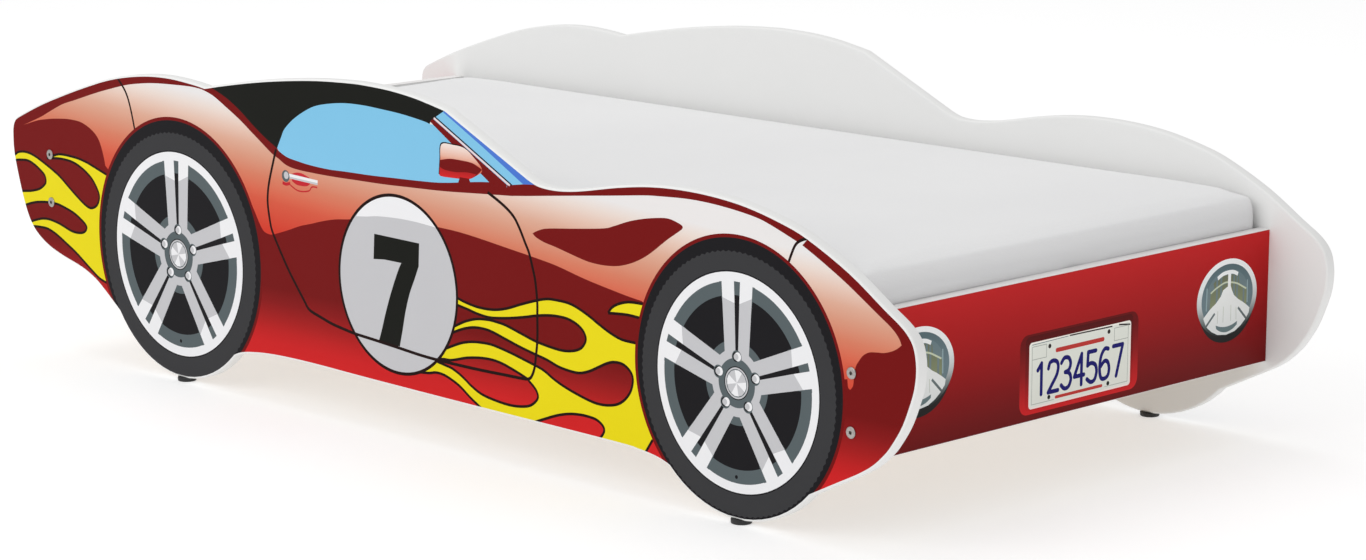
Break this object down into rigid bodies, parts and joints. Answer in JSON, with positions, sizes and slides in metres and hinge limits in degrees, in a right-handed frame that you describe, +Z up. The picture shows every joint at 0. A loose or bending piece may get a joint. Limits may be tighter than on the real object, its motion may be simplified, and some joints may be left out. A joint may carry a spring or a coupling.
{
  "type": "toddler bed",
  "caption": "Low toddler bed shaped like a race car: two cut-out printed side panels on glide feet, end boards, a slat roll and a foam mattress that lifts out.",
  "frame": {"origin": "on the floor, under the middle of the bed's length and width", "axes": "+X towards the car's front, +Y towards its left side, +Z up"},
  "size_m": [1.6141, 0.744, 0.4226],
  "materials": {
    "painted_board": "satin",
    "printed_board": "satin",
    "edge_band": "satin",
    "zinc": "satin",
    "yellow_zinc": "satin",
    "beech": "matte",
    "pine": "matte",
    "birch_ply": "matte",
    "glide": "matte",
    "webbing": "matte",
    "foam": "matte",
    "cover_fabric": "matte"
  },
  "bodies": {
    "frame": {"right_panel": "painted_board", "left_panel": "painted_board", "front_board": "printed_board", "rear_board": "printed_board", "front_edge_bands": "edge_band", "rear_edge_bands": "edge_band", "bolts_front_right": "zinc", "bolts_front_left": "zinc", "bolts_rear_right": "zinc", "bolts_rear_left": "zinc", "barrel_nuts_front": "zinc", "barrel_nuts_rear": "zinc", "dowels_front": "beech", "dowels_rear": "beech", "right_rail": "pine", "left_rail": "pine", "right_rail_screws": "yellow_zinc", "left_rail_screws": "yellow_zinc", "foot_front_right": "glide", "foot_front_left": "glide", "foot_rear_right": "glide", "foot_rear_left": "glide", "foot_nails": "zinc"},
    "slat_base": {"slat_1": "birch_ply", "slat_2": "birch_ply", "slat_3": "birch_ply", "slat_4": "birch_ply", "slat_5": "birch_ply", "slat_6": "birch_ply", "slat_7": "birch_ply", "slat_8": "birch_ply", "slat_9": "birch_ply", "slat_10": "birch_ply", "slat_11": "birch_ply", "slat_12": "birch_ply", "slat_13": "birch_ply", "slat_14": "birch_ply", "slat_tape_right": "webbing", "slat_tape_left": "webbing", "tape_staples": "zinc"},
    "mattress": {"mattress_core": "foam", "mattress_cover": "cover_fabric"}
  },
  "joints": [
    {"name": "slat_base_lift", "type": "slide", "parent": "frame", "child": "slat_base", "axis": [0, 0, 1], "range_m": [0, 0.26]},
    {"name": "mattress_lift", "type": "slide", "parent": "slat_base", "child": "mattress", "axis": [0, 0, 1], "range_m": [0, 0.26]}
  ]
}
